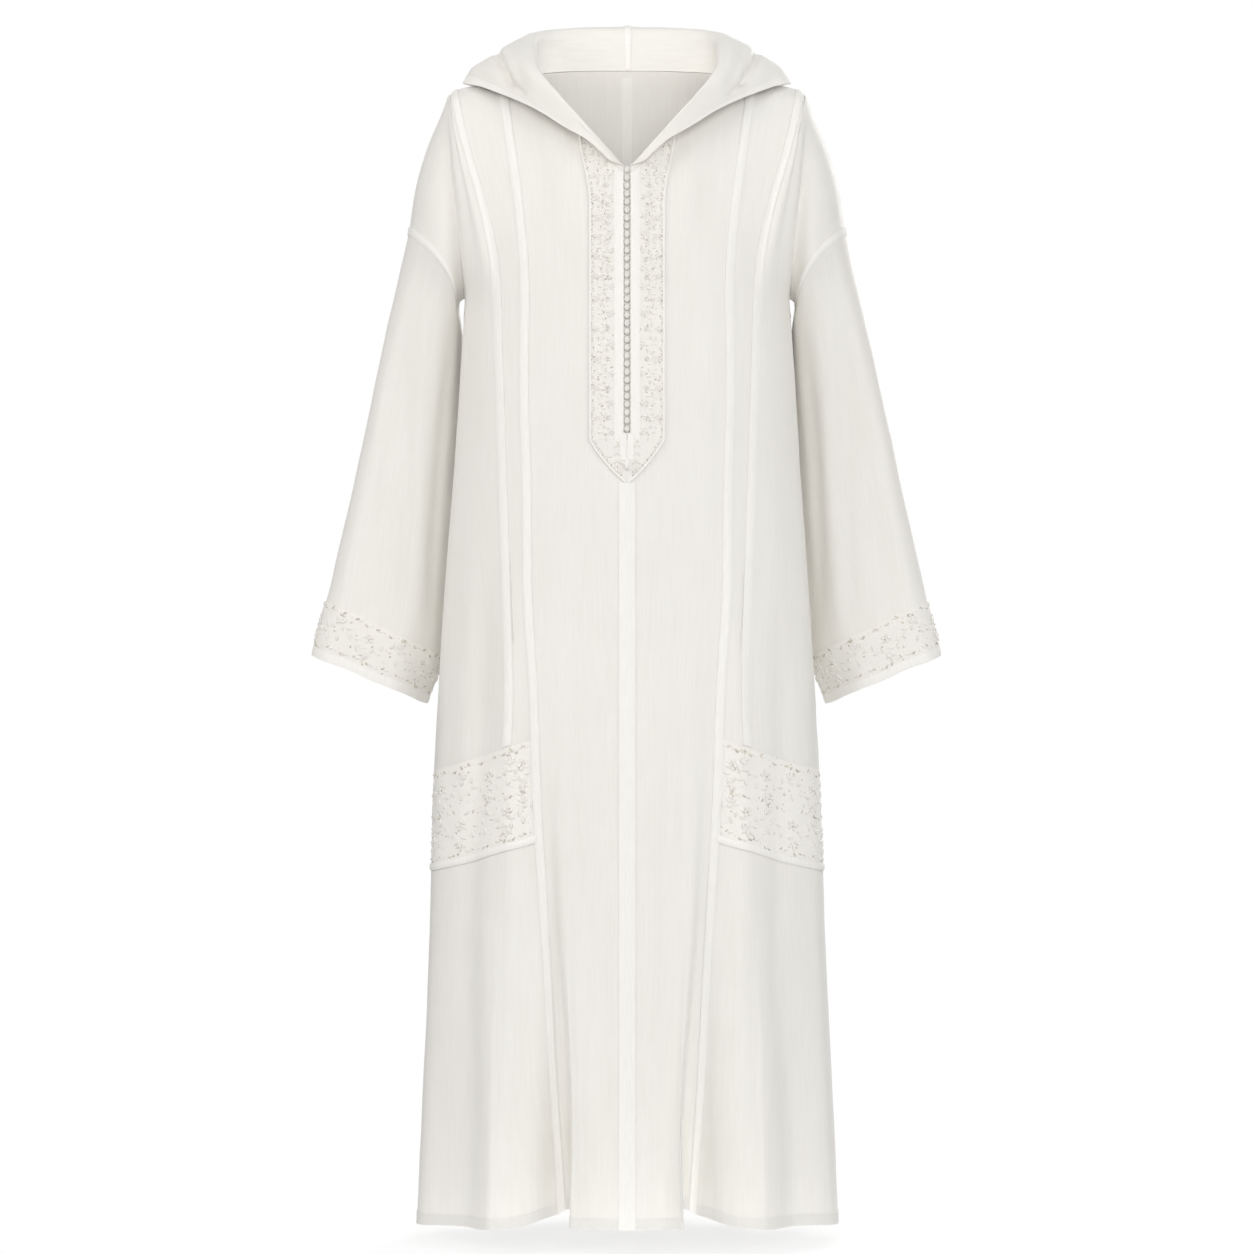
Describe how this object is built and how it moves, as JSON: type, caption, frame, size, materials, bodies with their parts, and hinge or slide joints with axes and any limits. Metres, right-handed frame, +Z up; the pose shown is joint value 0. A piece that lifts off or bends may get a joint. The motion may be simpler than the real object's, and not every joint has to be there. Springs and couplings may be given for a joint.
{
  "type": "hooded robe",
  "caption": "Worn-shape long robe with lying hood, dropped wide sleeves, buttoned chest placket, embroidered cuffs and slanted pocket bands; hollow, cloth walls only.",
  "frame": {"origin": "between the shoulders at shoulder height, where the wearer holds the robe up", "axes": "+X to the wearer's left, -Y to the front, +Z up along the body"},
  "size_m": [0.7772, 0.3296, 1.4639],
  "materials": {
    "dress_cloth": "soft satin, slightly sheer",
    "white_tape": "matt, double layer",
    "embroidery": "tone on tone stitched ground with small beads",
    "button_cord": "knotted silky cord"
  },
  "bodies": {
    "root": {"front_left": "dress_cloth", "front_right": "dress_cloth", "side_front_left": "dress_cloth", "side_front_right": "dress_cloth", "side_left": "dress_cloth", "side_right": "dress_cloth", "lower_side_left": "dress_cloth", "lower_side_right": "dress_cloth", "back_left": "dress_cloth", "back_right": "dress_cloth", "sleeve_left": "dress_cloth", "sleeve_right": "dress_cloth", "hood_left": "dress_cloth", "hood_right": "dress_cloth", "pocket_band_left": "embroidery", "pocket_band_right": "embroidery", "cuff_band_left": "embroidery", "cuff_band_right": "embroidery", "placket_band_left": "embroidery", "placket_band_right": "embroidery", "placket_tip_left": "embroidery", "placket_tip_right": "embroidery", "cuff_hem_left": "white_tape", "cuff_hem_right": "white_tape", "placket_facing_left": "white_tape", "placket_facing_right": "white_tape", "princess_tape_left": "white_tape", "princess_tape_right": "white_tape", "side_front_tape_left": "white_tape", "side_front_tape_right": "white_tape", "sleeve_tape_left": "white_tape", "sleeve_tape_right": "white_tape", "pocket_piping_left": "white_tape", "pocket_piping_right": "white_tape", "front_tape": "white_tape", "button_row": "button_cord"}
  },
  "joints": []
}
